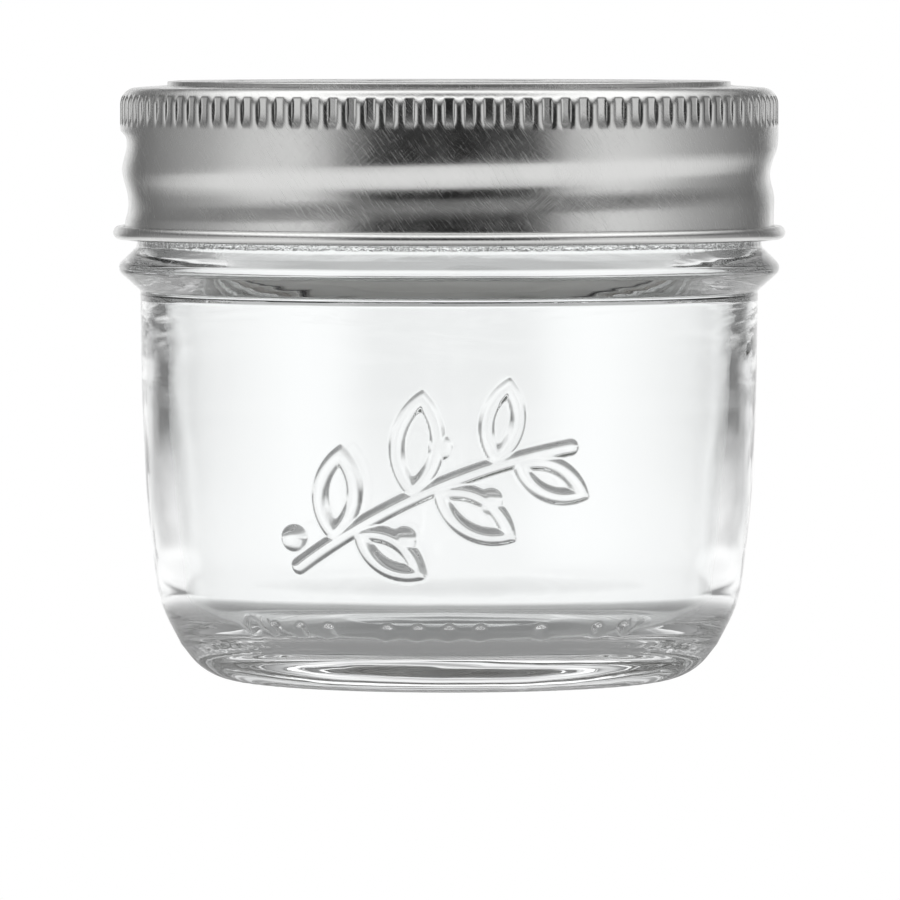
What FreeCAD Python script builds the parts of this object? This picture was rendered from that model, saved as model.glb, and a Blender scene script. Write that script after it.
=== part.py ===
import FreeCAD, Part
import os
from math import asin, ceil, cos, radians, sin, sqrt, tan

# Wide-mouth half-pint preserving jar: glass jar, flat lid with its sealing ring, and screw band.
#
# Millimetres, +Z up along the jar's axis, origin at the centre of the ring that the jar stands on.
# The front is -Y, where the moulded sprig is.

V = FreeCAD.Vector
AXIS = V(0, 0, 1)

# Glass jar
rim_height = 77.05           # glass height, to the sealing rim
mouth_radius = 38.1          # bore of the mouth
lip_width = 3.2              # bore to the outside of the neck, between the threads
lip_corner = 1.25            # rounding of the rim, inside and out
finish_height = 19.8         # rim down to the foot of the neck
collar_projection = 2.2      # how far the collar stands out of the neck
collar_nose = 1.23           # rounding of the collar's edge
collar_flank = 45.0          # slope of the collar's sides, degrees
collar_step = 0.45           # the body is this much smaller in radius than the neck
wall_neck = 3.2              # glass thickness at the collar
wall_body = 3.4              # glass thickness at mid body
wall_heel = 4.0              # glass thickness above the heel
body_taper_mid = 0.35        # loss of radius from the shoulder to mid body
body_taper_low = 1.45        # loss of radius from the shoulder to the top of the heel
body_taper_heel = 3.1        # loss of radius from the shoulder to the heel's knee
mid_share = 0.6              # where those are, as shares of the height to the foot of the neck
low_share = 0.315
heel_height = 9.0
heel_slope = 52.0            # degrees from horizontal, just above the rounded heel
heel_rounding = 8.0
heel_flat = 2.0              # straight part of that slope
bearing_inset = 13.3         # outside of the neck to the flat ring that the jar stands on
bearing_width = 1.5
push_up_edge = 1.1           # rise of the underside just inside the bearing ring
push_up_centre = 2.3         # rise of the underside at the centre
floor_edge = 5.6             # height of the inside floor, near its corner
floor_centre = 6.6           # height of the inside floor at the centre
floor_corner = 9.0           # rounding between the floor and the wall

# Thread on the glass
thread_lead = 7.9            # rise in one turn, right-handed
thread_projection = 1.15     # crest above the neck
thread_crest = 0.6           # half width of the crest
thread_foot = 1.7            # half width of the foot
thread_turns = 1.19
thread_runout = 24.0         # degrees over which each end fades out
thread_top_drop = 3.05       # rim down to the thread's highest centre line
thread_top_angle = 200.0     # degrees, where that is, anticlockwise from +X

# Sealing ring and lid
fit_gap = 0.03               # between flat faces that rest on each other
seal_thickness = 0.6
seal_inner_step = 0.2        # sealing ring's bore outside the mouth's
seal_edge_inset = 0.7        # its edge inside the lid's
lid_sheet = 0.22
lid_edge_clearance = 0.24    # lid's edge to the flutes inside the band
lid_corner = 1.5
lid_edge_drop = 0.3          # straight edge below the corner
lid_step_clearance = 0.35    # lid's raised panel to the band's window
lid_panel_rise = 1.2         # top of the panel above the lid's rim
lid_step_rise = 0.75         # straight part of that rise
lid_shoulder = 3.4           # sloping part, measured along the radius
lid_bead_share = 0.758       # stamped ring in the panel, as a share of the band's window
lid_bead_depth = 0.35
lid_bead_width = 1.6
lid_button_share = 0.346     # centre button, likewise
lid_button_dip = 0.45

# Screw band
band_sheet = 0.25
band_window_step = 0.5       # hole in the top is this much smaller in radius than the mouth
band_top_rise = 0.22         # the top slopes up this much towards the window
band_corner = 2.2
band_height = 20.0           # top edge down to the underside of the curl
skirt_clearance = 0.2        # bottom of the skirt to the glass thread's crest
skirt_bulge = 0.5            # the skirt's upper wall is this much wider than its bottom
knurl_step = 0.14            # the fluted ring is this much wider than the skirt
knurl_height = 5.58          # top edge down to the bottom of the fluted ring
flute_count = 107
flute_width = 1.15
flute_depth = 0.35
flute_margin = 0.15          # flute's end to the edge of the fluted ring
groove_depth = 1.1           # rolled thread
groove_above = 4.3           # width of its gentle upper side
groove_below = 3.6
thread_play = 0.02           # rolled thread to the underside of the glass thread that it pulls on
groove_lower_extra = 20.0    # degrees that the rolled thread runs on below and above the glass one
groove_upper_extra = 5.0
groove_fade = 1.2            # over this height the rolled thread fades at the skirt's ends
curl_radius = 0.9
curl_gap_angle = 60.0        # opening of the curl, at its top inner side

# Moulded decoration
sprig_centre_x = -1.8
sprig_centre_z = 24.5
sprig_length = 38.0
sprig_tilt = 24.0            # degrees
sprig_bow = 2.4              # how far the stem bows out of straight
sprig_leaves = ((0.14, 62, 12.5), (0.22, -58, 11.0), (0.44, 60, 14.0), (0.52, -56, 12.5),
                (0.74, 56, 11.5), (0.8, -50, 11.0))   # place on the stem, degrees from it, length
sprig_berries = ((0.36, -4.4), (0.6, 4.6), (0.68, -4.2), (0.02, 3.4))   # place, distance off it
berry_radius = 1.3
leaf_ratio = 0.46            # width to length
emboss_height = 0.8
emboss_width = 1.5
emboss_root = 2.4            # depth below the shoulder's radius at which the sprig is rooted
dot_height = 8.4
dot_radius = 0.62
dot_rise = 0.4
dot_step = 6.1               # degrees
dot_places = (-7, -6, -5, -4, -2, -1, 0, 1, 3, 5, 6)

# Worked-out heights and radii
neck_radius = mouth_radius + lip_width
neck_foot = rim_height - finish_height
mid_height = mid_share * neck_foot
low_height = low_share * neck_foot
bearing_outer = neck_radius - bearing_inset
collar_radius = neck_radius + collar_projection
collar_nose_r = collar_radius - collar_nose
shoulder_radius = neck_radius - collar_step
collar_reach = collar_nose_r + collar_nose * cos(radians(collar_flank)) - neck_radius
collar_height = neck_foot - collar_reach - collar_nose * sin(radians(collar_flank))
collar_underside = 2 * collar_height - neck_foot - collar_step
crest_radius = neck_radius + thread_projection
thread_top_z = rim_height - thread_top_drop
seal_inner = mouth_radius + seal_inner_step
band_window = mouth_radius - band_window_step
lid_bead_radius = lid_bead_share * band_window
lid_button_radius = lid_button_share * band_window
seal_bottom = rim_height + fit_gap
lid_bottom = seal_bottom + seal_thickness
lid_top = lid_bottom + lid_sheet
band_under = lid_top + fit_gap
band_edge_top = band_under + band_sheet
skirt_bottom_inner = crest_radius + skirt_clearance
skirt_bottom = skirt_bottom_inner + band_sheet
skirt_radius = skirt_bottom + skirt_bulge
knurl_radius = skirt_radius + knurl_step
flute_floor = knurl_radius - flute_depth
flute_inside = flute_floor - band_sheet
lid_radius = flute_inside - lid_edge_clearance
seal_outer = lid_radius - seal_edge_inset
knurl_bottom = band_edge_top - knurl_height
curl_centre_r = skirt_bottom_inner + curl_radius
curl_centre_z = band_edge_top - band_height + curl_radius
skirt_foot = curl_centre_z + 1.1 * curl_radius
skirt_top = knurl_bottom - 0.4
flute_bottom = knurl_bottom + flute_margin
flute_top = band_edge_top - 1.0

# Modelling
grid_row = 0.4               # spacing of the surface grids, mm
grid_column = 4.0            # and degrees
sewing_gap = 1e-3
moulding_points = 8          # spans of the surface that the moulding reaches out to


def point(r, z):
    return V(r, 0, z)


def arc(r, z, radius, start, end):
    """Edge in the XZ plane about (r, z), from one angle to the other, in degrees."""
    at = [point(r + radius * cos(radians(a)), z + radius * sin(radians(a)))
          for a in (start, (start + end) / 2, end)]
    return Part.Arc(*at).toShape()


def curve(points, first=None, last=None):
    """Smooth edge through (r, z) points, with optional end directions."""
    spline = Part.BSplineCurve()
    ends = {}
    if first and last:
        ends = {"InitialTangent": point(*first), "FinalTangent": point(*last)}
    spline.interpolate(Points=[point(*p) for p in points], **ends)
    return spline.toShape()


def outline(*pieces):
    """Wire through the pieces in order: edges and (r, z) points, with straight runs between."""
    edges, here = [], None
    for piece in pieces:
        edge = None if isinstance(piece, tuple) else piece
        start = point(*piece) if edge is None else edge.firstVertex(True).Point
        if here is not None and here.distanceToPoint(start) > 1e-6:
            edges.append(Part.LineSegment(here, start).toShape())
        if edge is not None:
            edges.append(edge)
            start = edge.lastVertex(True).Point
        here = start
    return Part.Wire(edges)


def turned(*pieces):
    """Faces of an open outline turned about the axis, in two halves."""
    half = outline(*pieces).revolve(V(0, 0, 0), AXIS, 180)
    other = half.copy()
    other.rotate(V(0, 0, 0), AXIS, 180)
    return half.Faces + other.Faces


def turned_solid(*pieces):
    wire = outline(*pieces, outline(*pieces).Vertexes[0].Point[::2])
    return Part.Face(wire).revolve(V(0, 0, 0), AXIS, 360)


def smooth(t):
    """0 below t = 0, 1 above t = 1, and a smooth rise between."""
    t = min(1.0, max(0.0, t))
    return t * t * (3 - 2 * t)


def grid_faces(radius_at, z_low, z_high):
    """Two faces, half a turn each, whose radius is radius_at(angle, z), angle in degrees."""
    rows = max(8, ceil((z_high - z_low) / grid_row))
    columns = ceil(360 / grid_column)
    pull = 3 / (2 + cos(radians(360 / columns)))     # a cubic runs inside its own control net
    poles = []
    for i in range(columns):
        angle = 360.0 * (i - 1) / columns            # so that the seam falls at angle 0
        turn = radians(angle)
        line = []
        for j in range(rows + 1):
            z = z_low + (z_high - z_low) * j / rows
            r = radius_at(angle, z) * pull
            line.append(V(r * cos(turn), r * sin(turn), z))
        poles.append(line)
    around = [float(i) for i in range(columns + 1)]
    up = [float(j) for j in range(rows - 1)]
    surface = Part.BSplineSurface()
    surface.buildFromPolesMultsKnots(poles, [1] * len(around), [4] + [1] * (len(up) - 2) + [4],
                                     around, up, True, False, 3, 3)
    middle = columns / 2
    return [surface.toShape(0, middle, up[0], up[-1]),
            surface.toShape(middle, columns, up[0], up[-1])]


def sewn_solid(faces):
    shared = faces[0].generalFuse(faces[1:], sewing_gap)[0]
    skin = Part.Compound(shared.Faces)
    skin.sewShape(sewing_gap)
    solid = Part.Solid(skin.Shells[0]).copy()
    solid.fix(sewing_gap, sewing_gap, sewing_gap)
    return solid


def helix_passes(angle, z, top_angle, top_z, turns):
    """(distance above the thread's centre line, strength) of each pass of a thread at a point."""
    passes = []
    for n in range(-1, ceil(turns) + 2):
        back = (top_angle - angle) % 360 + 360 * n
        centre = top_z - thread_lead * back / 360
        strength = smooth(back / thread_runout) * smooth((360 * turns - back) / thread_runout)
        if strength > 0:
            passes.append((z - centre, strength))
    return passes


def rolled_thread_drop():
    """How far the rolled thread must lie below the glass thread to clear its crest all the way."""
    thread_end = thread_top_z - thread_lead * thread_turns
    fall = smooth((thread_end - skirt_foot) / (skirt_top - skirt_foot))
    room = skirt_clearance + skirt_bulge * fall - thread_play
    depth = groove_depth - skirt_bulge * (1 - fall)
    share = 0.5 - sin(asin(1 - 2 * room / depth) / 3)       # where smooth(share) is room / depth
    return thread_crest + groove_above * (1 - share)


def glass_thread_radius(angle, z):
    rise = 0.0
    for above, strength in helix_passes(angle, z, thread_top_angle, thread_top_z, thread_turns):
        flank = (thread_foot - abs(above)) / (thread_foot - thread_crest)
        rise = max(rise, strength * smooth(flank))
    return neck_radius + thread_projection * rise


def skirt_outer_radius(angle, z):
    """Outside of the band's skirt, with its rolled thread."""
    fall = smooth((z - skirt_foot) / (skirt_top - skirt_foot))
    radius = skirt_bottom + (skirt_radius - skirt_bottom) * fall
    turns = thread_turns + (groove_lower_extra + groove_upper_extra) / 360
    top_z = thread_top_z - rolled_thread_drop() + thread_lead * groove_upper_extra / 360
    depth = 0.0
    for above, strength in helix_passes(angle, z, thread_top_angle + groove_upper_extra, top_z, turns):
        width = groove_above if above > 0 else groove_below
        depth = max(depth, strength * smooth(1 - abs(above) / width))
    ends = smooth((skirt_top - z) / groove_fade) * smooth((z - skirt_foot) / groove_fade)
    return radius - (groove_depth - (skirt_radius - radius)) * depth * ends


def skirt_inner_radius(angle, z):
    return skirt_outer_radius(angle, z) - band_sheet


def body_outline():
    """The outside, from the bearing ring up to the shoulder under the collar."""
    slope = radians(heel_slope)
    rounding = arc(bearing_outer, heel_rounding, heel_rounding, -90, heel_slope - 90)
    wall = curve([
        (bearing_outer + heel_rounding * sin(slope) + heel_flat * cos(slope),
         heel_rounding * (1 - cos(slope)) + heel_flat * sin(slope)),
        (shoulder_radius - body_taper_heel, heel_height),
        (shoulder_radius - body_taper_low, low_height),
        (shoulder_radius - body_taper_mid, mid_height),
        (shoulder_radius, collar_underside - 1.0),
    ], (cos(slope), sin(slope)), (0, 1))
    return rounding, wall


def inside_outline():
    """The inside, from the mouth down to the centre of the floor."""
    corner_r = shoulder_radius - body_taper_low - wall_heel - floor_corner
    corner_z = floor_edge + floor_corner
    wall = curve([
        (mouth_radius, rim_height - lip_corner - 2.0),
        (neck_radius - wall_neck, neck_foot),
        (shoulder_radius - wall_neck, collar_height - 6.0),
        (shoulder_radius - body_taper_mid - wall_body, mid_height),
        (corner_r + floor_corner, corner_z + 2.0),
    ], (0, -1), (-0.16, -1))
    floor = curve([(corner_r, floor_edge), (corner_r / 2, (floor_edge + 2 * floor_centre) / 3),
                   (0, floor_centre)], (-1, 0), (-1, 0))
    corner = arc(corner_r, corner_z, floor_corner, 0, -90)
    return wall, corner, floor


def make_plain_jar():
    thread_low = neck_foot + 1.0
    thread_high = rim_height - lip_corner - 0.2
    bearing_inner = bearing_outer - bearing_width
    middle = (bearing_inner / 2, (push_up_centre * 2 + push_up_edge) / 3)
    underside = curve([(0, push_up_centre), middle, (bearing_inner - 1.6, push_up_edge)],
                      (1, 0), (1, -0.6))
    outside = turned(
        underside,
        (bearing_inner, 0),
        *body_outline(),
        (shoulder_radius, collar_underside),
        arc(collar_nose_r, collar_height, collar_nose, -collar_flank, collar_flank),
        (neck_radius, neck_foot),
        (neck_radius, thread_low),
    )
    inside = turned(
        (neck_radius, thread_high),
        arc(neck_radius - lip_corner, rim_height - lip_corner, lip_corner, 0, 90),
        arc(mouth_radius + lip_corner, rim_height - lip_corner, lip_corner, 90, 180),
        *inside_outline(),
    )
    thread = grid_faces(glass_thread_radius, thread_low, thread_high)
    return sewn_solid(outside + inside + thread)


def lens(x, z, angle, length, width):
    """Pointed oval face in the XZ plane, from its base at (x, z)."""
    out = V(cos(radians(angle)), 0, sin(radians(angle)))
    side = V(-out.z, 0, out.x) * (width / 2)
    base = V(x, 0, z)
    tip = base + out * length
    middle = base + out * (length / 2)
    left = Part.Arc(base, middle + side, tip).toShape()
    right = Part.Arc(tip, middle - side, base).toShape()
    return Part.Face(Part.Wire([left, right]))


def leaf(x, z, angle, length):
    """Outline of a leaf with a rib."""
    outer = lens(x, z, angle, length, length * leaf_ratio)
    back = emboss_width * 1.9
    out = (cos(radians(angle)), sin(radians(angle)))
    inner_length = length - 2 * back
    inner = lens(x + out[0] * back, z + out[1] * back, angle, inner_length,
                 length * leaf_ratio - 2 * emboss_width)
    return outer.cut(inner)


def disc(x, z, radius):
    return Part.Face(Part.Wire(Part.Circle(V(x, 0, z), V(0, 1, 0), radius).toShape()))


def stem_point(t):
    """Point on the stem, t from 0 at its foot to 1 at its tip."""
    along = (t - 0.5) * sprig_length
    bow = sprig_bow * (1 - (2 * t - 1) ** 2)
    tilt = radians(sprig_tilt)
    return (sprig_centre_x + along * cos(tilt) - bow * sin(tilt),
            sprig_centre_z + along * sin(tilt) + bow * cos(tilt))


def stem():
    """Bowed bar through the stem's foot, middle and tip."""
    tilt = radians(sprig_tilt)
    side = V(-sin(tilt), 0, cos(tilt)) * (emboss_width / 2)
    line = [V(x, 0, z) for x, z in (stem_point(0), stem_point(0.5), stem_point(1))]
    upper = [p + side for p in line]
    lower = [p - side for p in reversed(line)]
    edges = [
        Part.Arc(*upper).toShape(),
        Part.LineSegment(upper[2], lower[0]).toShape(),
        Part.Arc(*lower).toShape(),
        Part.LineSegment(lower[2], upper[0]).toShape(),
    ]
    return Part.Face(Part.Wire(edges))


def make_sprig():
    """Flat faces of the moulded sprig: a stem, its leaves and its berries."""
    faces = [stem()]
    for t, turn, length in sprig_leaves:
        x, z = stem_point(t)
        faces.append(leaf(x, z, sprig_tilt + turn, length))
    for t, offset in sprig_berries:
        x, z = stem_point(t)
        tilt = radians(sprig_tilt)
        faces.append(disc(x - offset * sin(tilt), z + offset * cos(tilt), berry_radius))
    return faces


def make_moulding():
    """The sprig on the front of the body, standing evenly out of it."""
    bars = [face.extrude(V(0, -2 * neck_radius, 0)) for face in make_sprig()]
    low = heel_height + 1.0
    high = collar_underside - 1.0
    heights = [low + (high - low) * i / moulding_points for i in range(moulding_points + 1)]
    skin = curve([(body_radius(z) + emboss_height, z) for z in heights])
    limit = turned_solid((0, low), skin, (0, high))
    core = Part.makeCylinder(shoulder_radius - emboss_root, rim_height)
    return bars[0].fuse(bars[1:]).common(limit).cut(core)


def make_heel_dots():
    dots = []
    slope = radians(heel_slope)
    for place in dot_places:
        ball = Part.makeSphere(dot_radius, V(0, 0, 0))
        r = body_radius(dot_height) - (dot_radius - dot_rise)
        ball.translate(V(r, 0, dot_height))
        ball.rotate(V(0, 0, 0), AXIS, -90 + place * dot_step)
        dots.append(ball)
    return dots


def body_radius(z):
    cut = Part.LineSegment(point(0, z), point(2 * neck_radius, z)).toShape()
    return body_outline()[1].distToShape(cut)[1][0][0].x


def make_jar():
    jar = make_plain_jar()
    return jar.fuse([make_moulding()] + make_heel_dots())


def make_seal():
    """Flat ring whose outer edge thins out under the lid's rounded edge."""
    corner_r = lid_radius - lid_corner
    bend = lid_corner - lid_sheet
    edge_top = lid_top - lid_corner + sqrt(bend ** 2 - (seal_outer - corner_r) ** 2) - 2 * fit_gap
    return turned_solid(
        (seal_inner, seal_bottom),
        (seal_outer, seal_bottom),
        (seal_outer, edge_top),
        (corner_r, lid_bottom),
        (seal_inner, lid_bottom),
    )


def bent_wire(*corners):
    """Wire of straight runs through (r, z, rounding) corners."""
    pieces = [corners[0][:2]]
    for before, here, after in zip(corners, corners[1:], corners[2:]):
        corner = point(*here[:2])
        back = (point(*before[:2]) - corner).normalize()
        on = (point(*after[:2]) - corner).normalize()
        half = back.getAngle(on) / 2
        centre = corner + (back + on).normalize() * (here[2] / sin(half))
        reach = here[2] / tan(half)
        middle = centre + (corner - centre).normalize() * here[2]
        pieces.append(Part.Arc(corner + back * reach, middle, corner + on * reach).toShape())
    pieces.append(corners[-1][:2])
    return outline(*pieces)


def pressed_sheet(wire, thickness):
    """Solid of revolution of a sheet whose top side follows the wire."""
    face = wire.makeOffset2D(thickness, 0, True, True)
    return face.revolve(V(0, 0, 0), AXIS, 360)


def make_lid():
    top = lid_top + lid_panel_rise
    step = band_window - lid_step_clearance
    wire = bent_wire(
        (0, top - lid_button_dip, 0),
        (lid_button_radius - 1.0, top - lid_button_dip, 1.0),
        (lid_button_radius, top, 1.0),
        (lid_bead_radius - lid_bead_width, top, 0.6),
        (lid_bead_radius, top - lid_bead_depth, 0.6),
        (lid_bead_radius + lid_bead_width, top, 0.6),
        (step - lid_shoulder, top, 0.8),
        (step, lid_top + lid_step_rise, 0.3),
        (step, lid_top, lid_sheet),
        (lid_radius, lid_top, lid_corner),
        (lid_radius, lid_top - lid_corner - lid_edge_drop, 0),
    )
    return pressed_sheet(wire, -lid_sheet)


def obround(width, length, x_from, x_to, z):
    """Round-ended bar, its length upright, running out along X."""
    half = width / 2
    straight = (length - width) / 2
    low = V(x_from, 0, z - straight)
    high = V(x_from, 0, z + straight)
    side = V(0, half, 0)
    up = V(0, 0, half)
    edges = [
        Part.Arc(high + side, high + up, high - side).toShape(),
        Part.LineSegment(high - side, low - side).toShape(),
        Part.Arc(low - side, low - up, low + side).toShape(),
        Part.LineSegment(low + side, high + side).toShape(),
    ]
    return Part.Face(Part.Wire(edges)).extrude(V(x_to - x_from, 0, 0))


def ring_of(shape, count, first_angle):
    copies = []
    for i in range(count):
        copy = shape.copy()
        copy.rotate(V(0, 0, 0), AXIS, first_angle + 360 * i / count)
        copies.append(copy)
    return copies


def make_plain_band():
    top = band_edge_top
    rise = band_top_rise
    inner_corner = band_corner - band_sheet
    under = top - band_sheet
    side_arc = arc(knurl_radius - band_corner, top - band_corner, band_corner, 0, 90)
    inner_arc = arc(knurl_radius - band_corner, top - band_corner, inner_corner, 90, 0)
    head = turned(
        (skirt_radius, skirt_top),
        (knurl_radius, knurl_bottom),
        side_arc,
        (band_window, top + rise),
        (band_window, under + rise),
        inner_arc,
        (knurl_radius - band_sheet, knurl_bottom),
        (skirt_radius - band_sheet, skirt_top),
    )
    gap = curl_gap_angle
    curl_inner = curl_radius - band_sheet
    foot = turned(
        (skirt_bottom, skirt_foot),
        arc(curl_centre_r, curl_centre_z, curl_inner, 180, 540 - gap),
        arc(curl_centre_r, curl_centre_z, curl_radius, 540 - gap, 180),
        (skirt_bottom - band_sheet, skirt_foot),
    )
    outside = grid_faces(skirt_outer_radius, skirt_foot, skirt_top)
    inside = grid_faces(skirt_inner_radius, skirt_foot, skirt_top)
    return sewn_solid(head + foot + outside + inside)


def make_band():
    length = flute_top - flute_bottom
    z = (flute_top + flute_bottom) / 2
    slot = obround(flute_width, length, flute_floor, knurl_radius + 1.0, z)
    pad = obround(flute_width + 2 * band_sheet, length + 2 * band_sheet,
                  flute_inside, knurl_radius - band_sheet / 2, z)
    pads = ring_of(pad, flute_count, -90)
    slots = ring_of(slot, flute_count, -90)
    return make_plain_band().fuse(pads).cut(slots)


def main():
    os.makedirs("parts", exist_ok=True)
    nodes = {
        "glass_jar": make_jar,
        "lid_disc": make_lid,
        "sealing_ring": make_seal,
        "screw_band": make_band,
    }
    for name, make in nodes.items():
        make().exportStep(f"parts/{name}.step")


main()
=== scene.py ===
import math
import bmesh
import bpy
import numpy as np
from mathutils import Matrix, Vector


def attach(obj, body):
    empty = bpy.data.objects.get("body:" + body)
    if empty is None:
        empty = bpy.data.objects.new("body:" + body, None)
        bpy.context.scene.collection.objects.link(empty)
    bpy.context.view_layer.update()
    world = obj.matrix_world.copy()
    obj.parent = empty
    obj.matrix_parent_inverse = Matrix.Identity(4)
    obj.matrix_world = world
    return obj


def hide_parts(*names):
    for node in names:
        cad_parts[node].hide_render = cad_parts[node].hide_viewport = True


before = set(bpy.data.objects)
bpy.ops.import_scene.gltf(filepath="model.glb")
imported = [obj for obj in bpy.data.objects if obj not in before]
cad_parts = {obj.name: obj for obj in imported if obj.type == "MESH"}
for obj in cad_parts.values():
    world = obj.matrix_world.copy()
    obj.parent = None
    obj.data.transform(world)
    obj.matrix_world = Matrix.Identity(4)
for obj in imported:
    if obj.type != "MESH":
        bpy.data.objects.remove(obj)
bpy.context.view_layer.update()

MM = 0.001


# ---------------------------------------------------------------- dimensions, millimetres and degrees
UV_RADIUS, UV_LEAN = 43.0, 0.9      # the wrap map is unrolled at this radius; a step outwards counts for this much
WELD, SLIVER = 1e-3, 1e-4           # points this close are merged, and edges this short are removed
CLOSE = 0.02                        # nearer points of an outline are left out

# glass
RIM_Z = 77.05
MOUTH_R = 38.1
NECK_R = 41.3
NECK_PLAIN = 58.4                   # the neck is upright from here up
LIP = 1.25
COLLAR_R, COLLAR_Z, COLLAR_NOSE = 43.5, 54.5, 1.15
NECK_FOOT, COLLAR_FOOT = 57.2, 51.4
BODY_LOW, BODY_HIGH = 4.65, 51.0
BODY_TOP_R = 40.85
WALL_LOW, WALL_HIGH = 12.6, 70.0    # ends of the inside's curved wall
WALL_LOW_R, WALL_LEAN = 35.0, 7.5
INSIDE_CORNER = 7.5
RING_R, RING_WIDTH = 28.0, 1.5      # the ring that the jar stands on
HEEL = 8.0
FLOOR_EDGE, FLOOR_MIDDLE = 6.0, 7.6
FLOOR_R, FLOOR_TOP = 30.0, 14.6     # the inside floor and its corner lie within these

# screw thread: right-handed, its centre line falls away from the top angle
LEAD = 7.9
GLASS_THREAD = {"top_angle": 200.0, "top_z": 74.0, "turns": 1.19, "above": 1.7, "below": 1.7, "fade": 24.0}
BAND_THREAD = {"top_angle": 205.0, "top_z": 71.21, "turns": 1.26, "above": 4.3, "below": 3.6, "fade": 30.0}
GLASS_THREAD_RISE, GLASS_THREAD_FULL = 1.15, 1.55
BAND_THREAD_DEPTH = 1.1

# lid and sealing ring
LID_SHEET = 0.22
LID_TOP = 77.9
LID_R, LID_RIM = 42.7, 1.8
PANEL_RISE, PANEL_STEP, PANEL_SHOULDER = 1.2, 1.08, 1.2
BUTTON_R, BUTTON_DROP = 12.0, 0.45
BEAD_R, BEAD_HALF, BEAD_DROP = 28.5, 1.6, 0.35
SEAL_IN, SEAL_SPLIT, SEAL_OUT = 38.3, 40.1, 42.0

# band
SHEET = 0.25
BAND_TOP = 78.2
BAND_CORNER = 2.2
WINDOW_R, WINDOW_RISE = 37.6, 0.28
KNURL_R = 43.5
KNURL_Z = 72.6
SKIRT_R, SKIRT_FOOT_R = 43.5, 42.9
CURL_R, CURL_Z, CURL = 43.55, 59.08, 0.9
FLUTES = 107
FLUTE_DEPTH = 0.35
FLUTE_LOW, FLUTE_HIGH, FLUTE_FADE = 72.95, 77.3, 1.9
FLUTE_HALF, FLUTE_FLANK = 0.76, 0.2     # half a flute's width, and the width of its sloping flank
FLUTE_ROWS = (77.35, 77.15, 76.95, 76.7, 76.4, 76.0, 75.2, 74.2, 73.8, 73.5, 73.2, 73.0, 72.8)
# points across one flute, as shares of the pitch
FLUTE_PLACES = (0.0, 0.12, 0.215, 0.25, 0.29, 0.5, 0.71, 0.75, 0.785, 0.88)


def smooth(t):
    t = np.clip(t, 0.0, 1.0)
    return t * t * (3 - 2 * t)


def lerp(a, b, t):
    return a + (b - a) * t


def table_at(points, x):
    """Smooth values at x through (x, value) points in rising order."""
    xs, ys = np.array(points, float).T
    slope = np.gradient(ys, xs)
    x = np.clip(x, xs[0], xs[-1])
    i = np.clip(np.searchsorted(xs, x) - 1, 0, len(xs) - 2)
    h = xs[i + 1] - xs[i]
    t = (x - xs[i]) / h
    return ((1 + 2 * t) * (1 - t) ** 2 * ys[i] + t * (1 - t) ** 2 * h * slope[i]
            + t * t * (3 - 2 * t) * ys[i + 1] + t * t * (t - 1) * h * slope[i + 1])


def unevenness(points, size, seed):
    """Smooth random field of about unit height, from 14 waves.

    size is how far across its features are, in millimetres: one number, or one per axis.
    """
    rng = np.random.default_rng(seed)
    total = np.zeros(len(points))
    scale = 2 * math.pi / (np.ones(3) * np.array(size, float))
    for wave in range(14):
        direction = rng.normal(size=3)
        direction *= rng.uniform(0.45, 1.1) / np.linalg.norm(direction)
        total += np.sin(points @ (direction * scale) + rng.uniform(0, 2 * math.pi))
    return total / 3.7      # about the root of the number of waves


def bent(corners, step=0.35):
    """(r, z) path of straight runs through (r, z, rounding) corners, with points a step apart on the bends."""
    path = [Vector(corners[0][:2])]
    for before, here, after in zip(corners, corners[1:], corners[2:]):
        p = Vector(here[:2])
        back, on = (Vector(before[:2]) - p).normalized(), (Vector(after[:2]) - p).normalized()
        turn = math.pi - back.angle(on)
        if here[2] <= 0 or turn < 0.02:
            path.append(p)
            continue
        reach = here[2] * math.tan(turn / 2)
        centre = p + (back + on).normalized() * (here[2] / math.cos(turn / 2))
        start = p + back * reach - centre
        side = 1 if start.cross(p + on * reach - centre) > 0 else -1
        count = max(2, math.ceil(here[2] * turn / step))
        for i in range(count + 1):
            path.append(centre + Matrix.Rotation(side * turn * i / count, 2) @ start)
    path.append(Vector(corners[-1][:2]))
    return path


def spaced(path, gap):
    """The path with extra points, so that none are further than the gap apart."""
    out = [path[0]]
    for a, b in zip(path, path[1:]):
        n = max(1, math.ceil((b - a).length / gap))
        out += [a.lerp(b, i / n) for i in range(1, n + 1)]
    return out


def arc(r, z, radius, start, end, count):
    """Points on an arc about (r, z), between two angles."""
    angles = [math.radians(lerp(start, end, i / count)) for i in range(count + 1)]
    return [Vector((r + radius * math.cos(a), z + radius * math.sin(a))) for a in angles]


def spun(path, sectors, steps, closed=True):
    """Mesh made by turning an (r, z) path about the Z axis: one sector is spun and then repeated."""
    bm = bmesh.new()
    verts = [bm.verts.new((p.x, 0, p.y)) for p in path]
    edges = [bm.edges.new(pair) for pair in zip(verts, verts[1:])]
    if closed:
        edges.append(bm.edges.new((verts[-1], verts[0])))
    bmesh.ops.spin(bm, geom=verts + edges, cent=(0, 0, 0), axis=(0, 0, 1), dvec=(0, 0, 0),
                   angle=2 * math.pi / sectors, steps=steps, use_duplicate=False)
    sector = bpy.data.meshes.new("sector")
    bm.to_mesh(sector)
    bm.clear()
    for i in range(sectors):
        bm.from_mesh(sector)
        sector.transform(Matrix.Rotation(2 * math.pi / sectors, 4, "Z"))
    bpy.data.meshes.remove(sector)
    bmesh.ops.remove_doubles(bm, verts=bm.verts, dist=WELD)
    bmesh.ops.dissolve_degenerate(bm, edges=bm.edges, dist=SLIVER)
    return bm


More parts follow.
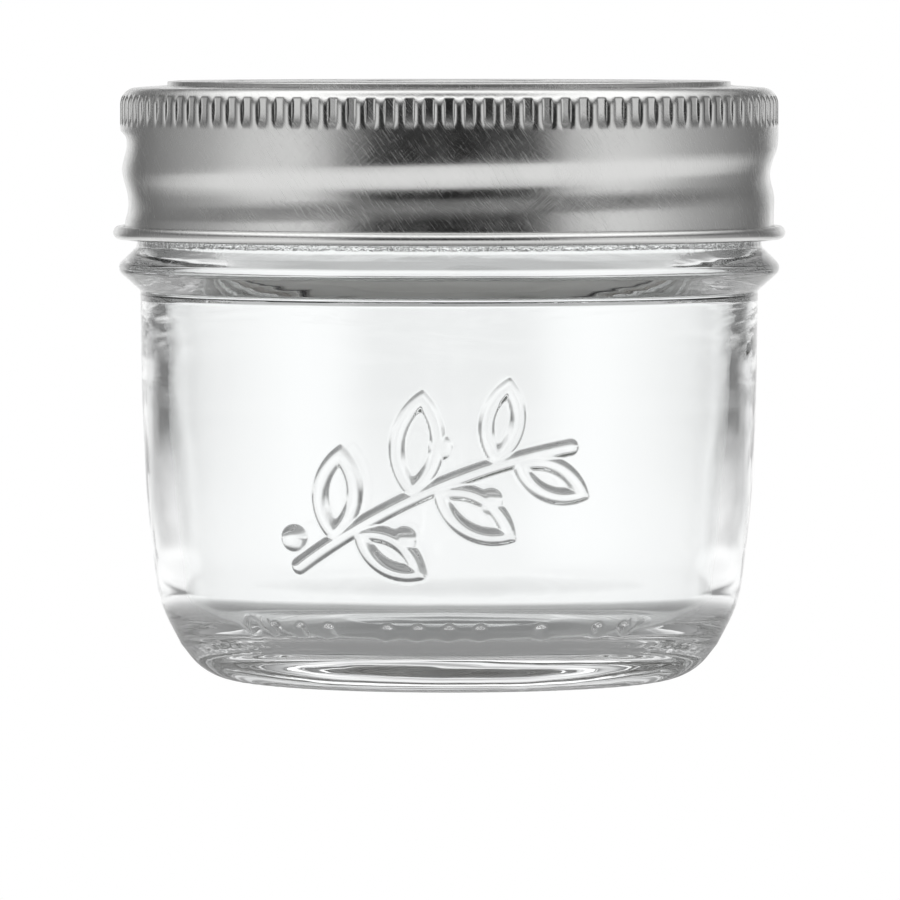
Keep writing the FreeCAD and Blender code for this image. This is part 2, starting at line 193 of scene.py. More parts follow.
def finished(bm, name, body, node, shape=None):
    """The mesh as a smooth-shaded piece that stands for a CAD node; shape moves its points."""
    bmesh.ops.recalc_face_normals(bm, faces=bm.faces)
    for face in bm.faces:
        face.smooth = True
    mesh = bpy.data.meshes.new(name)
    bm.to_mesh(mesh)
    bm.free()
    points = np.zeros(len(mesh.vertices) * 3)
    mesh.vertices.foreach_get("co", points)
    points = points.reshape(-1, 3)
    if shape:
        points = shape(points)
    mesh.vertices.foreach_set("co", (points * MM).ravel())
    mesh.update()
    wrap_uv(mesh, points)
    piece = bpy.data.objects.new(name, mesh)
    bpy.context.scene.collection.objects.link(piece)
    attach(piece, body)
    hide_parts(node)
    return piece


def wrap_uv(mesh, points):
    """UV map in metres: u runs round the axis, v rises with height and falls outwards."""
    corners = np.zeros(len(mesh.loops), int)
    mesh.loops.foreach_get("vertex_index", corners)
    starts = np.zeros(len(mesh.polygons), int)
    mesh.polygons.foreach_get("loop_start", starts)
    sizes = np.zeros(len(mesh.polygons), int)
    mesh.polygons.foreach_get("loop_total", sizes)
    r, angle, z = polar(points)
    a = angle[corners]
    # a face across the 0 degree line takes its low angles past 360, so it isn't smeared right round
    top = np.repeat(np.maximum.reduceat(a, starts), sizes)
    a = np.where((top - a) > 180, a + 360, a)
    uv = np.stack([np.radians(a) * UV_RADIUS, z[corners] - UV_LEAN * r[corners]], axis=1) * MM
    mesh.uv_layers.new(name="wrap").data.foreach_set("uv", uv.ravel())


def polar(points):
    x, y, z = points.T
    return np.hypot(x, y), np.degrees(np.arctan2(y, x)) % 360, z


def from_polar(r, angle, z):
    turn = np.radians(angle)
    return np.stack([r * np.cos(turn), r * np.sin(turn), z], axis=1)


def thread(spec, angle, z):
    """Strength from 0 to 1 of a thread at points: 1 on its centre line."""
    best = np.zeros(len(z))
    for n in range(-1, 3):
        back = (spec["top_angle"] - angle) % 360 + 360 * n
        ends = smooth(back / spec["fade"]) * smooth((360 * spec["turns"] - back) / spec["fade"])
        above = z - (spec["top_z"] - LEAD * back / 360)
        width = np.where(above > 0, spec["above"], spec["below"])
        best = np.maximum(best, ends * smooth(1 - np.abs(above) / width))
    return best


# ---------------------------------------------------------------- glass jar
# (z, radius) points of the outside and of the inside
BODY = [(BODY_LOW, 35.54), (9.0, 37.75), (18.0, 39.4), (34.0, 40.5), (BODY_HIGH, BODY_TOP_R)]
WALL_INSIDE = [(WALL_LOW, WALL_LOW_R), (18.0, 35.75), (34.0, 37.1), (48.5, 37.65), (57.0, 38.05),
               (WALL_HIGH, MOUTH_R)]

SPRIG_X, SPRIG_Z = -1.8, 24.5
SPRIG_LENGTH, SPRIG_TILT, SPRIG_BOW = 38.0, 24.0, 2.4
# each leaf: place along the stem, turn from it, length
LEAVES = ((0.14, 62, 12.5), (0.22, -58, 11.0), (0.44, 60, 14.0),
          (0.52, -56, 12.5), (0.74, 56, 11.5), (0.8, -50, 11.0))
# each berry: place along the stem, distance off it
BERRIES = ((0.36, -4.4), (0.6, 4.6), (0.68, -4.2), (0.02, 3.4))
STROKE, STROKE_RISE = 1.8, 0.8
LEAF_RATIO = 0.5
BERRY_R = 1.45

HEEL_DOTS = [-90 + 6.1 * k for k in (-7, -6, -5, -4, -2, -1, 0, 1, 3, 5, 6)]
HEEL_DOT_Z, HEEL_DOT_R, HEEL_DOT_RISE = 8.4, 0.75, 0.4
STIPPLES, STIPPLE_RISE = 72, 0.10       # knurls on the ring that the jar stands on

# unevenness of the glass: height, and features' size
FLOOR_BROAD, FLOOR_FINE = (0.22, 55.0), (0.05, 18.0)
INSIDE_BROAD, INSIDE_SETTLING = (0.09, (180, 180, 60)), (0.13, (120, 120, 11))
OUTSIDE_BROAD = (0.03, 90.0)


def stem_point(t):
    tilt = math.radians(SPRIG_TILT)
    along, bow = (t - 0.5) * SPRIG_LENGTH, SPRIG_BOW * (1 - (2 * t - 1) ** 2)
    return Vector((SPRIG_X + along * math.cos(tilt) - bow * math.sin(tilt),
                   SPRIG_Z + along * math.sin(tilt) + bow * math.cos(tilt)))


def leaf_shapes():
    """(centre, direction, circle offset, circle radius) of each leaf's pointed oval, where two circles cross."""
    shapes = []
    for t, turn, length in LEAVES:
        a = math.radians(SPRIG_TILT + turn)
        out = Vector((math.cos(a), math.sin(a)))
        half, bulge = length / 2, length * LEAF_RATIO / 2
        radius = (half * half + bulge * bulge) / (2 * bulge)
        shapes.append((stem_point(t) + out * half, out, radius - bulge, radius))
    return shapes


LEAF_SHAPES = leaf_shapes()
STEM_POINTS = [stem_point(i / 24) for i in range(25)]
OFF_STEM = Vector((-math.sin(math.radians(SPRIG_TILT)), math.cos(math.radians(SPRIG_TILT))))
BERRY_POINTS = [stem_point(place) + OFF_STEM * off for place, off in BERRIES]


def ridge(distance, half_width):
    """Height share of a rounded stroke: a half circle down to 0.6, then a soft foot."""
    t = distance / half_width
    return np.where(t < 0.8, np.sqrt(np.clip(1 - t * t, 0, 1)), 0.6 * smooth((1.28 - t) / 0.48))


def sprig_rise(x, z):
    """How far the moulded sprig stands out at points of the front."""
    p = np.stack([x, z], axis=1)
    best = np.full(len(x), 99.0)
    for a, b in zip(STEM_POINTS, STEM_POINTS[1:]):
        ab = np.array(b - a)
        t = np.clip((p - np.array(a)) @ ab / (ab @ ab), 0, 1)
        best = np.minimum(best, np.linalg.norm(p - np.array(a) - t[:, None] * ab, axis=1))
    for centre, out, offset, radius in LEAF_SHAPES:
        d = p - np.array(centre)
        along = d @ np.array(out)
        across = np.abs(d[:, 0] * out.y - d[:, 1] * out.x)
        inside = np.hypot(along, across + offset) - radius
        best = np.minimum(best, np.abs(inside + STROKE / 2))
    rise = ridge(best, STROKE / 2)
    for centre in BERRY_POINTS:
        rise = np.maximum(rise, ridge(np.linalg.norm(p - np.array(centre), axis=1), BERRY_R))
    return rise * STROKE_RISE


def jar_path():
    """Outline of the glass: out from the base's middle, up the outside, over the lip and down the inside."""
    ring_in = RING_R - RING_WIDTH
    outer = bent([(0, 2.3, 0), (14, 1.95, 20), (ring_in - 1.2, 1.15, 1.0), (ring_in, 0, 0.3), (RING_R, 0, 0.3)])[:-1]
    heel = arc(RING_R, HEEL, HEEL, -88, -38, 16)
    body = [Vector((table_at(BODY, z), z))
            for z in [BODY_LOW + (BODY_HIGH - BODY_LOW) * i / 46 for i in range(47)]]
    collar = bent([(BODY_TOP_R, 50.8, 0), (BODY_TOP_R, COLLAR_FOOT, 0.5),
                   (COLLAR_R + 0.7, COLLAR_Z - 0.1, COLLAR_NOSE),
                   (NECK_R, NECK_FOOT, 0.8), (NECK_R, NECK_PLAIN, 0)], 0.25)
    neck = spaced([Vector((NECK_R, NECK_PLAIN)), Vector((NECK_R, RIM_Z - LIP))], 0.4)
    lip_out = arc(NECK_R - LIP, RIM_Z - LIP, LIP, 0, 90, 6)
    lip_in = arc(MOUTH_R + LIP, RIM_Z - LIP, LIP, 90, 180, 6)
    mouth = spaced([Vector((MOUTH_R, RIM_Z - LIP)), Vector((MOUTH_R, WALL_HIGH))], 1.5)
    wall = [Vector((table_at(WALL_INSIDE, z), z))
            for z in [WALL_HIGH - (WALL_HIGH - WALL_LOW) * i / 40 for i in range(41)]]
    floor_r = WALL_LOW_R - INSIDE_CORNER * math.cos(math.radians(WALL_LEAN))
    corner = arc(floor_r, FLOOR_EDGE + INSIDE_CORNER, INSIDE_CORNER, -9, -90, 20)
    floor = [Vector((floor_r * (1 - t), lerp(FLOOR_EDGE, FLOOR_MIDDLE, smooth(t))))
             for t in [i / 16 for i in range(1, 17)]]
    path = (outer + heel + body + collar + neck[1:] + lip_out[1:] + lip_in[1:] + mouth[1:] + wall[1:]
            + corner + floor)
    clean = [path[0]]
    for p in path[1:]:
        if (p - clean[-1]).length > CLOSE:
            clean.append(p)
    return clean


def shape_jar(points):
    """Moves the spun glass to its moulded shape: floor, base ring, sprig, heel dots, thread and unevenness."""
    r, angle, z = polar(points)
    x, y = points[:, 0], points[:, 1]
    new, up = r.copy(), z.copy()
    outside = np.where(z > FLOOR_TOP, r > table_at(WALL_INSIDE, z) + 1.6, r > table_at(BODY, z) - 1.0)
    floor = (z < FLOOR_TOP) & (z > 4) & (r < FLOOR_R)
    swell = FLOOR_BROAD[0] * unevenness(points, FLOOR_BROAD[1], 3)
    swell = swell + FLOOR_FINE[0] * unevenness(points, FLOOR_FINE[1], 4)
    up += floor * swell * smooth((FLOOR_R - r) / 8)
    ring = (z < 4.6) & (z > CLOSE) & (r > RING_R - RING_WIDTH - 0.2) & (r < RING_R + 2.4)
    up += ring * STIPPLE_RISE * (0.5 + 0.5 * np.sin(np.radians(angle) * STIPPLES))
    wall = outside & (z > 4.6) & (z < BODY_HIGH)
    new = np.where(wall, table_at(BODY, z), new)
    front = wall & (y < -25) & (z > 10) & (z < 44) & (np.abs(x) < 27)
    new[front] += sprig_rise(x[front], z[front])
    low = wall & (y < -20) & (z < 11)
    for dot in HEEL_DOTS:
        away = np.radians((angle[low] - dot + 180) % 360 - 180) * r[low]
        new[low] += HEEL_DOT_RISE * ridge(np.hypot(away, z[low] - HEEL_DOT_Z), HEEL_DOT_R)
    neck = outside & (z > NECK_FOOT + 1) & (z < RIM_Z - LIP)
    strength = thread(GLASS_THREAD, angle[neck], z[neck])
    new[neck] = NECK_R + GLASS_THREAD_RISE * smooth(GLASS_THREAD_FULL * strength)
    settle = smooth((z - 38) / 6) * smooth((57 - z) / 4)
    inner = (INSIDE_BROAD[0] * unevenness(points, INSIDE_BROAD[1], 5)
             + INSIDE_SETTLING[0] * settle * unevenness(points, INSIDE_SETTLING[1], 6))
    outer = OUTSIDE_BROAD[0] * unevenness(points, OUTSIDE_BROAD[1], 7)
    new += np.where((z > 4.6) & (z < RIM_Z - LIP - 0.5) & ~floor, np.where(outside, outer, inner), 0)
    return from_polar(new, angle, up)


def make_jar():
    bm = spun(jar_path(), 24, 12, closed=False)
    edges = set()
    for face in bm.faces:       # finer faces where the sprig and the dots stand out
        c = face.calc_center_median()
        if c.y < -30 and abs(c.x) < 25 and 9 < c.z < 44 and c.xy.length > table_at(BODY, c.z) - 1.2:
            edges.update(face.edges)
    bmesh.ops.subdivide_edges(bm, edges=list(edges), cuts=3, use_grid_fill=True)
    return finished(bm, "jar_glass", "jar", "glass_jar", shape_jar)


# ---------------------------------------------------------------- lid, sealing ring and band
def sheet_loop(path, thickness):
    """Closed path of a sheet: its top side and, back again, its underside."""
    under = []
    for i, p in enumerate(path):
        before, after = path[max(0, i - 1)], path[min(len(path) - 1, i + 1)]
        along = (after - before).normalized()
        normal = Vector((along.y, -along.x))
        a = (p - before).normalized() if i else along
        b = (after - p).normalized() if i < len(path) - 1 else along
        mitre = 1 / max(0.5, math.cos(a.angle(b) / 2)) if a.length and b.length else 1
        under.append(p + normal * (thickness * mitre))
    return path + under[::-1]


def make_lid():
    """Lid plate: a button in the middle, a bead round the panel, the panel's step, and the rim turned down."""
    top = LID_TOP + PANEL_RISE
    step = WINDOW_R - 0.35
    path = bent([(0, top - BUTTON_DROP, 0), (BUTTON_R, top - BUTTON_DROP, 1.0), (BUTTON_R + 1.0, top, 1.0),
                 (BEAD_R - BEAD_HALF, top, 0.6), (BEAD_R, top - BEAD_DROP, 0.6), (BEAD_R + BEAD_HALF, top, 0.6),
                 (step - PANEL_SHOULDER, top, 0.5), (step, LID_TOP + PANEL_STEP, 0.15), (step, LID_TOP, 0.25),
                 (LID_R, LID_TOP, 1.5), (LID_R, LID_TOP - LID_RIM, 0)], 0.16)
    loop = sheet_loop(spaced(path, 2.0), LID_SHEET)
    bm = spun(loop, 16, 16, closed=False)
    return finished(bm, "lid_plate", "lid", "lid_disc")


def make_seal():
    low, high = RIM_Z + 0.04, LID_TOP - LID_SHEET - 0.01
    path = bent([(SEAL_SPLIT, low, 0), (SEAL_OUT, low, 0.25), (SEAL_OUT, high, 0.05), (SEAL_IN, high, 0.05),
                 (SEAL_IN, low, 0.25), (SEAL_SPLIT, low, 0)], 0.1)[:-1]
    bm = spun(path, 16, 12)
    return finished(bm, "seal_ring", "lid", "sealing_ring")


def knurl_edge(z):
    """Radius of the fluted ring before fluting: upright, then rounded over to the top."""
    rise = np.clip(z - (BAND_TOP - BAND_CORNER), 0, BAND_CORNER)
    return KNURL_R - BAND_CORNER + np.sqrt(BAND_CORNER ** 2 - rise ** 2)


def band_path():
    """Closed outline of the band: over the top, down the outside, round the curl and back up the inside."""
    shoulder_r, shoulder_z = KNURL_R - BAND_CORNER, BAND_TOP - BAND_CORNER
    head = bent([(WINDOW_R, BAND_TOP + WINDOW_RISE, 0), (KNURL_R - 2.9, BAND_TOP + 0.06, 3),
                 (shoulder_r, BAND_TOP, 0)], 0.3)
    head += arc(shoulder_r, shoulder_z, BAND_CORNER, 90, 38, 6)[1:]
    flutes = [Vector((knurl_edge(z), z)) for z in FLUTE_ROWS]
    step = [Vector((KNURL_R, KNURL_Z - 0.1)), Vector((KNURL_R, KNURL_Z - 0.4))]
    skirt = [Vector((SKIRT_R, lerp(KNURL_Z - 0.7, CURL_Z + 1.0, i / 32))) for i in range(33)]
    skirt = [p for i, p in enumerate(skirt) if i % 4 != 3]      # three rows in four, to save faces
    rolled = arc(CURL_R, CURL_Z, CURL - SHEET, 180, 480, 6)
    back = arc(CURL_R, CURL_Z, CURL, 480, 180, 11)
    side = [Vector((p.x - SHEET, p.y)) for p in (flutes[::5] + step[1:] + skirt[::3])[::-1]]
    corner = arc(shoulder_r, shoulder_z, BAND_CORNER - SHEET, 38, 90, 4)
    window = [Vector((WINDOW_R, BAND_TOP + WINDOW_RISE - SHEET))]
    path = head + flutes + step + skirt + rolled + back + side + corner + window
    return [p for p, before in zip(path, path[-1:] + path) if (p - before).length > CLOSE]


def skirt_radius(angle, z):
    """Outside of the skirt, with its rolled thread."""
    radius = lerp(SKIRT_FOOT_R, SKIRT_R, smooth((z - CURL_Z - 1) / (KNURL_Z - CURL_Z - 1)))
    ends = smooth((KNURL_Z + 0.1 - z) / 1.1) * smooth((z - CURL_Z - 0.9) / 1.6)
    depth = BAND_THREAD_DEPTH - (SKIRT_R - radius)
    return radius - depth * thread(BAND_THREAD, angle, z) * ends


def shape_band(points):
    """Moves the spun band to its rolled shape: flutes round the top, and the thread in the skirt."""
    r, angle, z = polar(points)
    pitch, count = 360 / FLUTES, len(FLUTE_PLACES)
    index = np.round(angle / (pitch / count)).astype(int) % (FLUTES * count)
    place = np.array(FLUTE_PLACES)[index % count]
    angle = ((index // count + place) * pitch - 90) % 360
    across = np.minimum(place, 1 - place) * math.radians(pitch) * KNURL_R
    fluted = (z > KNURL_Z) & (z < FLUTE_HIGH + 0.6) & (r > KNURL_R - 0.95)
    depth = np.clip(knurl_edge(z) - KNURL_R + FLUTE_DEPTH, 0, FLUTE_DEPTH) * smooth((z - FLUTE_LOW) / FLUTE_FADE)
    new = r - np.where(fluted, depth * smooth((FLUTE_HALF - across) / FLUTE_FLANK), 0)
    skirt = (z > CURL_Z + 0.95) & (z < KNURL_Z - 0.05) & (r < SKIRT_R + 0.01) & (r > SKIRT_R - 0.6)
    sheet = np.where(r > SKIRT_R - SHEET / 2, 0, SHEET)     # nothing on the outside, the sheet on the inside
    return from_polar(np.where(skirt, skirt_radius(angle, z) - sheet, new), angle, z)


def make_band():
    bm = spun(band_path(), FLUTES, len(FLUTE_PLACES))
    return finished(bm, "band_shell", "band", "screw_band", shape_band)


jar = make_jar()
lid = make_lid()
seal = make_seal()
band = make_band()


# ---------------------------------------------------------------- materials
# sizes of patterns are in metres; a noise of scale s has features about 1 / s across
GLASS_BROAD, GLASS_MOTTLE = 90.0, 330.0     # 11 mm swells, and 3 mm mottling on the neck
GLASS_RIPPLE = (22.0, 22.0, 150.0)          # ripples 45 mm long and 7 mm high, where the glass settled
MOTTLE_WEIGHT, RIPPLE_WEIGHT = 5.0, 7.0
GLASS_BUMP = 0.00004
MOTTLE_FROM, MOTTLE_FULL = 0.0562, 0.0578   # heights
RIPPLE_FROM, RIPPLE_FULL = 0.036, 0.047
TIN_CLOUD = 160.0                           # 6 mm patches, a little duller or brighter
TIN_BUMP = 0.000009
COMPOUND_MOTTLE, COMPOUND_BUMP = 1200.0, 0.00003


def linear(hex_colour):
    """sRGB hex to linear RGBA."""
    out = []
    for i in (1, 3, 5):
        c = int(hex_colour[i:i + 2], 16) / 255
        out.append(c / 12.92 if c <= 0.04045 else ((c + 0.055) / 1.055) ** 2.4)
    return (*out, 1.0)


def add(tree, kind, inputs=None, **settings):
    """Node of a kind, with inputs given as values or as sockets to link from."""
    node = tree.nodes.new(kind)
    for key, value in settings.items():
        setattr(node, key, value)
    for key, value in (inputs or {}).items():
        if isinstance(value, bpy.types.NodeSocket):
            tree.links.new(value, node.inputs[key])
        else:
            node.inputs[key].default_value = value
    return node


def new_material(name):
    material = bpy.data.materials.new(name)
    material.use_nodes = True
    material.node_tree.nodes.clear()
    return material, material.node_tree


def pressed_clear_glass():
    """Soda-lime glass, fire-polished, with the faint unevenness that pressing leaves."""
    material, tree = new_material("soda_lime_glass_pressed")
    place = add(tree, "ShaderNodeTexCoord").outputs["Object"]
    z = add(tree, "ShaderNodeSeparateXYZ", {"Vector": place}).outputs["Z"]
    broad = add(tree, "ShaderNodeTexNoise", {"Vector": place, "Scale": GLASS_BROAD, "Detail": 2.0, "Roughness": 0.5})
    seam = add(tree, "ShaderNodeTexNoise", {"Vector": place, "Scale": GLASS_MOTTLE, "Detail": 4.0, "Roughness": 0.6})
    on_neck = add(tree, "ShaderNodeMapRange", {"Value": z, 1: MOTTLE_FROM, 2: MOTTLE_FULL, 3: 0.0, 4: 1.0})
    flat = add(tree, "ShaderNodeMapping", {"Vector": place, "Scale": GLASS_RIPPLE})
    ripple = add(tree, "ShaderNodeTexNoise", {
        "Vector": flat.outputs[0], "Scale": 1.0, "Detail": 3.0, "Distortion": 0.6})
    settling = add(tree, "ShaderNodeMapRange", {"Value": z, 1: RIPPLE_FROM, 2: RIPPLE_FULL, 3: 0.0, 4: 1.0})
    mottle = add(tree, "ShaderNodeMath", {0: seam.outputs["Fac"], 1: on_neck.outputs[0]}, operation="MULTIPLY")
    waves = add(tree, "ShaderNodeMath", {0: ripple.outputs["Fac"], 1: settling.outputs[0]}, operation="MULTIPLY")
    mottled = add(tree, "ShaderNodeMath", {0: mottle.outputs[0], 1: MOTTLE_WEIGHT, 2: broad.outputs["Fac"]},
                  operation="MULTIPLY_ADD")
    height = add(tree, "ShaderNodeMath", {0: waves.outputs[0], 1: RIPPLE_WEIGHT, 2: mottled.outputs[0]},
                 operation="MULTIPLY_ADD")
    bump = add(tree, "ShaderNodeBump", {"Height": height.outputs[0], "Strength": 1.0, "Distance": GLASS_BUMP})
    glass = add(tree, "ShaderNodeBsdfPrincipled", {
        "Base Color": linear("#FDFEFE"), "Roughness": 0.0, "IOR": 1.52, "Transmission Weight": 1.0,
        "Normal": bump.outputs["Normal"]})
    add(tree, "ShaderNodeOutputMaterial", {"Surface": glass.outputs["BSDF"]})
    return material


def hairlines(tree, wrap, turn, length, width, low, high, seed):
    """Sparse fine scratches, 0 to 1: their mean length and width, and their turn from the rim's direction."""
    laid = add(tree, "ShaderNodeMapping", {
        "Vector": wrap, "Rotation": (0, 0, turn), "Location": (seed, seed * 0.7, 0)})
    drawn = add(tree, "ShaderNodeMapping", {"Vector": laid.outputs[0], "Scale": (1 / length, 1 / width, 1.0)})
    field = add(tree, "ShaderNodeTexNoise", {"Vector": drawn.outputs[0], "Scale": 1.0, "Detail": 1.0},
                noise_dimensions="2D")
    lines = add(tree, "ShaderNodeMapRange", {"Value": field.outputs["Fac"], 1: low, 2: high, 3: 0.0, 4: 1.0})
    return lines.outputs[0]


def tinplate(name, colour, rough, enamelled=False):
    """Electrolytic tinplate, bright-rolled and then scuffed.

    Enamelled, its underside has a baked white food-safe coat.
    """
    material, tree = new_material(name)
    wrap = add(tree, "ShaderNodeUVMap", uv_map="wrap").outputs[0]
    # scratches 3 to 4.5 mm long, drawn 0.06 to 0.08 mm wide: as coarse as they need to be to show
    grain = hairlines(tree, wrap, 0.5, 0.0045, 0.00007, 0.3, 0.7, 0.0)
    cross = hairlines(tree, wrap, -0.75, 0.0045, 0.00006, 0.56, 0.74, 0.3)
    nicks = hairlines(tree, wrap, 0.95, 0.0032, 0.00008, 0.64, 0.76, 0.6)
    cloud = add(tree, "ShaderNodeTexNoise", {"Vector": wrap, "Scale": TIN_CLOUD, "Detail": 3.0},
                noise_dimensions="2D")
    crossed = add(tree, "ShaderNodeMath", {0: cross, 1: -0.8, 2: grain}, operation="MULTIPLY_ADD")
    height = add(tree, "ShaderNodeMath", {0: nicks, 1: -1.0, 2: crossed.outputs[0]}, operation="MULTIPLY_ADD")
    bump = add(tree, "ShaderNodeBump", {"Height": height.outputs[0], "Strength": 0.35, "Distance": TIN_BUMP})
    patches = add(tree, "ShaderNodeMapRange", {
        "Value": cloud.outputs["Fac"], 1: 0.3, 2: 0.7, 3: rough - 0.05, 4: rough + 0.05})
    grained = add(tree, "ShaderNodeMath", {0: grain, 1: 0.04, 2: patches.outputs[0]}, operation="MULTIPLY_ADD")
    rough_at = add(tree, "ShaderNodeMath", {0: nicks, 1: 0.1, 2: grained.outputs[0]}, operation="MULTIPLY_ADD")
    metal = add(tree, "ShaderNodeBsdfPrincipled", {
        "Base Color": linear(colour), "Metallic": 1.0, "Roughness": rough_at.outputs[0],
        "Normal": bump.outputs["Normal"]})
    shader = metal.outputs["BSDF"]
    if enamelled:
        normal = add(tree, "ShaderNodeTexCoord").outputs["Normal"]
        up = add(tree, "ShaderNodeSeparateXYZ", {"Vector": normal}).outputs["Z"]
        below = add(tree, "ShaderNodeMapRange", {"Value": up, 1: -0.2, 2: -0.5, 3: 0.0, 4: 1.0})
        enamel = add(tree, "ShaderNodeBsdfPrincipled", {"Base Color": linear("#F6F5F1"), "Roughness": 0.3})
        mixed = add(tree, "ShaderNodeMixShader", {0: below.outputs[0], 1: shader, 2: enamel.outputs["BSDF"]})
        shader = mixed.outputs[0]
    add(tree, "ShaderNodeOutputMaterial", {"Surface": shader})
    return material


def plastisol():
    """Vinyl sealing compound, flowed in and baked: matt and slightly uneven."""
    material, tree = new_material("plastisol_baked")
    place = add(tree, "ShaderNodeTexCoord").outputs["Object"]
    mottle = add(tree, "ShaderNodeTexNoise", {"Vector": place, "Scale": COMPOUND_MOTTLE, "Detail": 3.0})
    bump = add(tree, "ShaderNodeBump", {
        "Height": mottle.outputs["Fac"], "Strength": 0.3, "Distance": COMPOUND_BUMP})
    compound = add(tree, "ShaderNodeBsdfPrincipled", {
        "Base Color": linear("#C9C4BE"), "Roughness": 0.6, "Normal": bump.outputs["Normal"]})
    add(tree, "ShaderNodeOutputMaterial", {"Surface": compound.outputs["BSDF"]})
    return material


jar.data.materials.append(pressed_clear_glass())
band.data.materials.append(tinplate("tinplate_band_scuffed", "#D8D8D7", 0.17))
lid.data.materials.append(tinplate("tinplate_lid_satin_enamelled_below", "#D2D2D1", 0.2, enamelled=True))
seal.data.materials.append(plastisol())


# ---------------------------------------------------------------- stage, light and camera
LIGHT = 1.03
FLOOR_HALF, FLOOR_GAP = 4.0, 0.00005
# grey levels of the floor's light by distance from the jar's axis, in metres, darker near the jar as a painted
# shadow, and where they give way to the studio's
FLOOR_SHADOW_LEVELS = ((0.0, 0.24), (0.036, 0.28), (0.052, 0.42), (0.08, 0.78), (0.12, 1.0))
FLOOR_ENDS, STUDIO_STARTS = 0.12, 0.34
# grey levels of the studio by direction: from in front of the jar (0) round the sides to behind it (1)
WORLD_AROUND = ((0.0, 0.02), (0.05, 0.025), (0.085, 0.2), (0.12, 0.6), (0.2, 0.88), (0.35, 0.78), (0.5, 0.5),
                (0.75, 0.28), (0.9, 0.15), (0.938, 0.45), (0.963, 0.96), (1.0, 1.0))
# and by height, as the sine of the elevation, with the heights between which they take over
WORLD_ABOVE = ((0.0, 0.15), (0.45, 0.18), (0.62, 0.8), (0.75, 1.5), (0.93, 1.4), (0.98, 0.4), (1.0, 0.3))
AROUND_ENDS, ABOVE_STARTS = 0.13, 0.32
CAMERA_AWAY, CAMERA_HEIGHT = 1.25, 0.087
LOOK_X, LOOK_Z = 0.0001, 0.0302
SENSOR, VIEW_WIDTH = 36.0, 0.1192       # millimetres of sensor, and metres across the view at the jar
BOUNCES = 40


def stops(ramp, levels):
    """Sets a ramp to grey levels: (place, level) pairs."""
    elements = ramp.color_ramp.elements
    while len(elements) > 1:
        elements.remove(elements[-1])
    for i, (place, level) in enumerate(levels):
        element = elements[0] if i == 0 else elements.new(place)
        element.position = place
        element.color = (level, level, level, 1)


def studio_around(tree, y):
    """Grey level of the studio near the horizon, from the Y part of a level direction."""
    along = add(tree, "ShaderNodeMapRange", {"Value": y, 1: -1.0, 2: 1.0, 3: 0.0, 4: 1.0}).outputs[0]
    ramp = add(tree, "ShaderNodeValToRGB", {"Fac": along})
    stops(ramp, WORLD_AROUND)
    return ramp.outputs["Color"]


def seen_and_lit(tree, seen, lit):
    """Shader that shows one strength to the camera and lights the object with another."""
    path = add(tree, "ShaderNodeLightPath")
    return add(tree, "ShaderNodeMixShader", {0: path.outputs["Is Camera Ray"], 1: lit, 2: seen}).outputs[0]


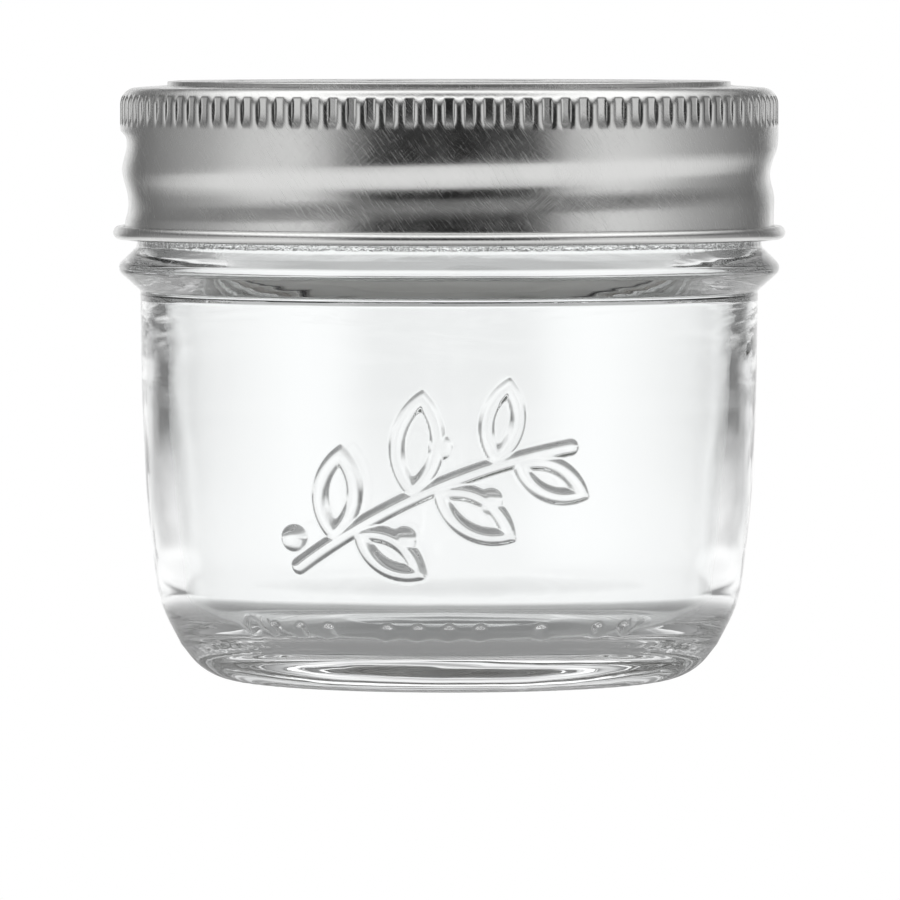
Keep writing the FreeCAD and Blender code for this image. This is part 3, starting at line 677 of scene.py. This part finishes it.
def make_floor():
    """White to the camera; for light, a painted shadow under and near the jar, and like the studio further off."""
    bm = bmesh.new()
    bmesh.ops.create_grid(bm, x_segments=1, y_segments=1, size=FLOOR_HALF)
    mesh = bpy.data.meshes.new("floor")
    bm.to_mesh(mesh)
    bm.free()
    floor = bpy.data.objects.new("floor", mesh)
    bpy.context.scene.collection.objects.link(floor)
    floor.location = (0, 0, -FLOOR_GAP)
    material, tree = new_material("floor_white_with_painted_shadow")
    seen = add(tree, "ShaderNodeEmission", {"Color": (1, 1, 1, 1), "Strength": 1.0})
    place = add(tree, "ShaderNodeTexCoord").outputs["Object"]
    reach = add(tree, "ShaderNodeVectorMath", {0: place}, operation="LENGTH").outputs["Value"]
    # painted shadow: the floor's light is darker under and near the jar
    near = add(tree, "ShaderNodeValToRGB", {"Fac": reach})
    stops(near, FLOOR_SHADOW_LEVELS)
    heading = add(tree, "ShaderNodeVectorMath", {0: place}, operation="NORMALIZE").outputs["Vector"]
    far = studio_around(tree, add(tree, "ShaderNodeSeparateXYZ", {"Vector": heading}).outputs["Y"])
    share = add(tree, "ShaderNodeMapRange", {"Value": reach, 1: FLOOR_ENDS, 2: STUDIO_STARTS, 3: 0.0, 4: 1.0},
                interpolation_type="SMOOTHSTEP")
    level = add(tree, "ShaderNodeMix", {0: share.outputs[0], 6: near.outputs["Color"], 7: far}, data_type="RGBA")
    lit = add(tree, "ShaderNodeEmission", {"Color": level.outputs[2], "Strength": LIGHT})
    add(tree, "ShaderNodeOutputMaterial", {"Surface": seen_and_lit(tree, seen.outputs[0], lit.outputs[0])})
    mesh.materials.append(material)


def make_world():
    """White to the camera; for light, a studio: bright behind, softboxes above and at the sides, dark in front."""
    world = bpy.data.worlds.new("studio")
    bpy.context.scene.world = world
    world.use_nodes = True
    tree = world.node_tree
    tree.nodes.clear()
    place = add(tree, "ShaderNodeTexCoord").outputs["Generated"]
    axes = add(tree, "ShaderNodeSeparateXYZ", {"Vector": place})
    around = studio_around(tree, axes.outputs["Y"])
    above = add(tree, "ShaderNodeValToRGB", {"Fac": axes.outputs["Z"]})
    stops(above, WORLD_ABOVE)
    share = add(tree, "ShaderNodeMapRange", {
        "Value": axes.outputs["Z"], 1: AROUND_ENDS, 2: ABOVE_STARTS, 3: 0.0, 4: 1.0},
        interpolation_type="SMOOTHSTEP")
    both = add(tree, "ShaderNodeMix", {0: share.outputs[0], 6: around, 7: above.outputs["Color"]}, data_type="RGBA")
    seen = add(tree, "ShaderNodeBackground", {"Color": (1, 1, 1, 1), "Strength": 1.0})
    lit = add(tree, "ShaderNodeBackground", {"Color": both.outputs[2], "Strength": LIGHT})
    add(tree, "ShaderNodeOutputWorld", {"Surface": seen_and_lit(tree, seen.outputs[0], lit.outputs[0])})


def make_camera():
    data = bpy.data.cameras.new("camera")
    camera = bpy.data.objects.new("camera", data)
    bpy.context.scene.collection.objects.link(camera)
    camera.location = (0, -CAMERA_AWAY, CAMERA_HEIGHT)
    aim = Vector((LOOK_X, 0, LOOK_Z)) - camera.location
    camera.rotation_mode = "QUATERNION"
    camera.rotation_quaternion = aim.to_track_quat("-Z", "Y")
    data.sensor_width = SENSOR
    data.lens = SENSOR * aim.length / VIEW_WIDTH
    data.clip_start, data.clip_end = 0.05, 50.0
    bpy.context.scene.camera = camera


make_floor()
make_world()
make_camera()
bpy.context.scene.view_settings.view_transform = "Standard"
# light that is trapped in the thick base needs many turns to find its way out
cycles = bpy.context.scene.cycles
cycles.max_bounces = cycles.glossy_bounces = cycles.transmission_bounces = BOUNCES
